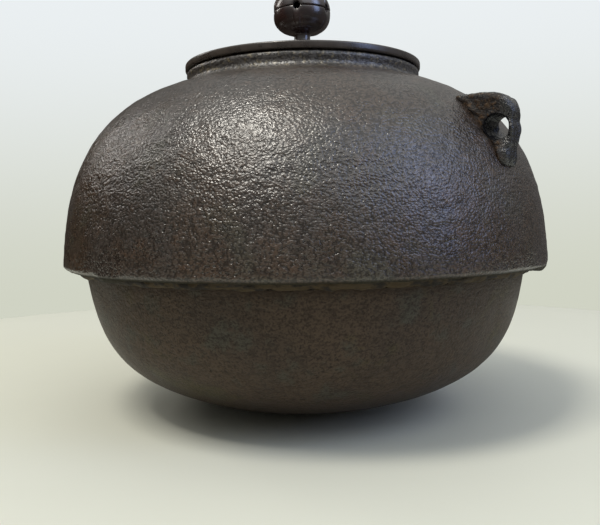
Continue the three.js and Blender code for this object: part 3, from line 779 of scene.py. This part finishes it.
knob = dict(radius=14.8, lower=11.6, upper=12.0, lowerSquare=2.85, upperSquare=2.05, wall=1.6,
            neckLength=6.8, neckWall=1.7, footSpread=2.0, bore=2.5, holes=5, holeRadius=1.8,
            firstHole=-59.0, lipDent=0.35, gap=0.3, seamGap=0.3, seamTouch=0.04, seamDepth=1.1,
            seamRound=0.55, columns=480)


def shellCurve(low, high, height, inset, steps):
    # squarish quarter ball between two angles from the seam: r = R cos^(2/n) a, z = H sin^(2/n) a,
    # with a negative height below the seam
    angle = np.radians(np.linspace(low, high, steps))
    power = 2 / (knob["lowerSquare"] if height < 0 else knob["upperSquare"])
    r = (knob["radius"] - inset) * np.cos(angle)**power
    z = np.sign(height) * (abs(height) - inset) * np.sin(angle)**power
    return np.stack([r, z], axis=1)


def notched(points, seam, side):
    # the shell's edge drawn back round each hole by sqrt(R^2 - arc^2), so that two half holes meet at
    # the seam, and the metal dented a little round them
    turn = around(points.shape[1])[None, :]
    pitch = 2 * np.pi / knob["holes"]
    away = (turn - math.radians(knob["firstHole"]) + pitch / 2) % pitch - pitch / 2
    arc = np.abs(away) * knob["radius"]
    half = np.sqrt(np.maximum(knob["holeRadius"]**2 - arc**2, 0))
    beyond = arc - knob["holeRadius"]
    lip = 0.5 * np.exp(-(beyond / 0.9)**2) * (beyond > 0) + 0.5 * (half > 0)
    height = side * (points[..., 2] - seam)
    reach = knob["lower"]
    squeezed = half + height * (reach - half) / reach
    points[..., 2] = np.where(height < reach, seam + side * squeezed, points[..., 2])
    dent = knob["lipDent"] * lip * (1 - ramped(height, 0.3, 2.2))
    radius = np.hypot(points[..., 0], points[..., 1])
    points[..., :2] *= (1 - dent / np.maximum(radius, 1))[..., None]
    return points


def makeKnob(neckBase, material):
    # two shells, each a closed profile spun round Z; the lower one has the neck on it
    base = neckBase + knob["neckLength"]
    seam = base + knob["lower"]
    edge, wall, gap, soft = knob["radius"], knob["wall"], knob["seamGap"] / 2, knob["seamRound"]
    touch, groove = knob["seamTouch"] / 2, edge - knob["seamDepth"]
    bore, waist, floor = knob["bore"], knob["bore"] + knob["neckWall"], base + knob["wall"]
    spread, slim = waist + knob["footSpread"], neckBase + 0.62 * knob["neckLength"]

    def shell(low, high, height, inset, steps):
        return shellCurve(low, high, height, inset, steps) + np.array([0, seam])

    lower = chain(line((bore, neckBase), (spread, neckBase), 3),
                  bend((spread, neckBase), 100, 0.5, (waist, slim), 90, 0.4, 14),
                  bend((waist, slim), 90, 0.5, shell(78, 78, -knob["lower"], 0, 1)[0], 20, 0.35, 8),
                  shell(78, 4, -knob["lower"], 0, 44),
                  bend((edge, seam - gap - soft), 90, 0.4, (edge - soft, seam - gap), 180, 0.4, 5),
                  line((edge - soft, seam - gap), (groove, seam - gap), 2),
                  line((groove, seam - touch), (edge - wall, seam - touch), 2),
                  shell(4, 66, -knob["lower"], wall, 18),
                  line((4.5, floor), (bore, floor), 3), line((bore, floor), (bore, neckBase), 5)[:-1])
    points = notched(spun(lower, knob["columns"]), seam, -1)
    piece = surface("knobLower", points, wrapRows=True)
    standsFor(piece, "knob_lower", "knob", material)
    upper = chain([(0, seam + knob["upper"] - wall)], shell(88, 4, knob["upper"], wall, 22),
                  line((edge - wall, seam + touch), (groove, seam + touch), 2),
                  line((groove, seam + gap), (edge - soft, seam + gap), 2),
                  bend((edge - soft, seam + gap), 0, 0.4, (edge, seam + gap + soft), 90, 0.4, 5),
                  shell(4, 89, knob["upper"], 0, 54), [(0, seam + knob["upper"])])
    points = notched(spun(upper, knob["columns"]), seam, 1)
    piece = surface("knobUpper", points)
    standsFor(piece, "knob_upper", "knob", material)
    return floor + knob["gap"]


def makeStem(lid, headBase, material):
    # rivet spun round Z: peened tail under the lid, shank, domed head inside the knob
    look = dict(columns=96, radius=2.2, head=4.2, headHeight=1.8, peen=3.8, peenHeight=1.7, washer=1.5,
                gap=0.3)
    tail = lid["crownUnder"] - 2 * look["gap"] - look["washer"]
    r, peen, head, top = look["radius"], look["peen"], look["head"], headBase + look["headHeight"]
    profile = chain(bend((0, tail - look["peenHeight"]), 0, 0.4, (peen, tail - 0.4), 85, 0.4, 12),
                    line((peen, tail - 0.4), (peen, tail), 2), line((peen, tail), (r, tail), 2),
                    line((r, tail), (r, headBase), 12), line((r, headBase), (head, headBase), 2),
                    line((head, headBase), (head, headBase + 0.5), 2),
                    bend((head, headBase + 0.5), 90, 0.4, (0, top), 180, 0.5, 12))
    piece = surface("knobStem", spun(profile, look["columns"]))
    standsFor(piece, "knob_stem", "knob", material)


def makeSlab(size, middle, tilt, turn, square, ripple):
    # a softened slab: outline and section are |cos|^(2/n), |sin|^(2/n) curves, tilted along the floor
    # and turned into place
    rows, columns = 36, 160
    t = around(columns)[None, :]
    s = np.radians(np.linspace(-90, 90, rows))[:, None]

    def squared(wave, power):
        return np.sign(wave) * np.abs(wave)**(2 / power)

    reach = squared(np.cos(s), 6)
    reach[0] = reach[-1] = 0
    x = size[0] / 2 * reach * squared(np.cos(t), square)
    y = size[1] / 2 * reach * squared(np.sin(t), square)
    z = size[2] / 2 * squared(np.sin(s), 6) + 0 * t
    points = np.stack([x, y, z], axis=-1)
    points = points + outward(points, False) * (ripple * lumps(points, 4.0, 41) * reach)[..., None]
    lean = np.array(Matrix.Rotation(-tilt, 3, "Y"))
    spin = np.array(Matrix.Rotation(turn, 3, "Z"))
    return (points @ lean.T + np.array(middle)) @ spin.T


def makeSoundPlates(iron, lacquer):
    # plates evenly round the bottom, each on its bed, both square to the slope there
    look = dict(count=3, ring=38.0, first=90.0, length=28.0, width=15.0, thick=1.8, margin=1.5, bed=1.2,
                gap=0.3, bedSquare=4, bedRipple=0.15, plateSquare=9, plateRipple=0.06)
    ring, gap, bed, border = look["ring"], look["gap"], look["bed"], 2 * look["margin"]
    # height and slope of the bottom's inside under a plate's middle
    inner = beside(chain(*bowlCurves()), bowl["wall"])
    floor = np.interp(ring, inner[:, 0], inner[:, 1]) + gap
    tilt = math.atan(np.interp(ring, inner[:, 0], np.gradient(inner[:, 1], inner[:, 0])))
    start, up = np.array([ring, 0, floor]), np.array([-math.sin(tilt), 0, math.cos(tilt)])
    bedSize = (look["width"] + border, look["length"] + border, bed)
    plateSize = (look["width"], look["length"], look["thick"])
    bedMiddle, plateMiddle = start + up * (bed / 2), start + up * (bed + gap + look["thick"] / 2)
    for number in range(look["count"]):
        turn = math.radians(look["first"] + 360 / look["count"] * number)
        under = makeSlab(bedSize, bedMiddle, tilt, turn, look["bedSquare"], look["bedRipple"])
        over = makeSlab(plateSize, plateMiddle, tilt, turn, look["plateSquare"], look["plateRipple"])
        standsFor(surface(f"lacquerBed{number + 1}", under), f"lacquer_bed_{number + 1}", "kettle",
                  lacquer)
        standsFor(surface(f"soundPlate{number + 1}", over), f"sound_plate_{number + 1}", "kettle",
                  iron)


def build():
    # camera and studio first, then the pieces from the castings up to the knob
    metal = dict(lidDark=(0.035, 0.026, 0.021, 1), lidLight=(0.058, 0.044, 0.035, 1),
                 knobDark=(0.013, 0.0045, 0.0045, 1), knobLight=(0.032, 0.009, 0.007, 1))
    makeCamera()
    makeStudio()
    bronze = makeBronze("lidBronze", metal["lidDark"], metal["lidLight"], 0.26, 0.36, 1.7)
    knobBronze = makeBronze("knobBronze", metal["knobDark"], metal["knobLight"], 0.2, 0.28, 2.1)
    lugIron = makeLugIron(lug)
    makeUpperCasting(makeCastSkin())
    makeLowerCasting(makeBowlSkin())
    makeJointPutty(makePutty())
    makeLug("lugRight", "ring_lug_right", False, lugIron)
    makeLug("lugLeft", "ring_lug_left", True, lugIron)
    lid = makeLid(bronze)
    knobFoot = makeWashers(lid, bronze, knobBronze)
    headBase = makeKnob(knobFoot, knobBronze)
    makeStem(lid, headBase, knobBronze)
    makeSoundPlates(makePlateIron(), makeLacquer())


build()
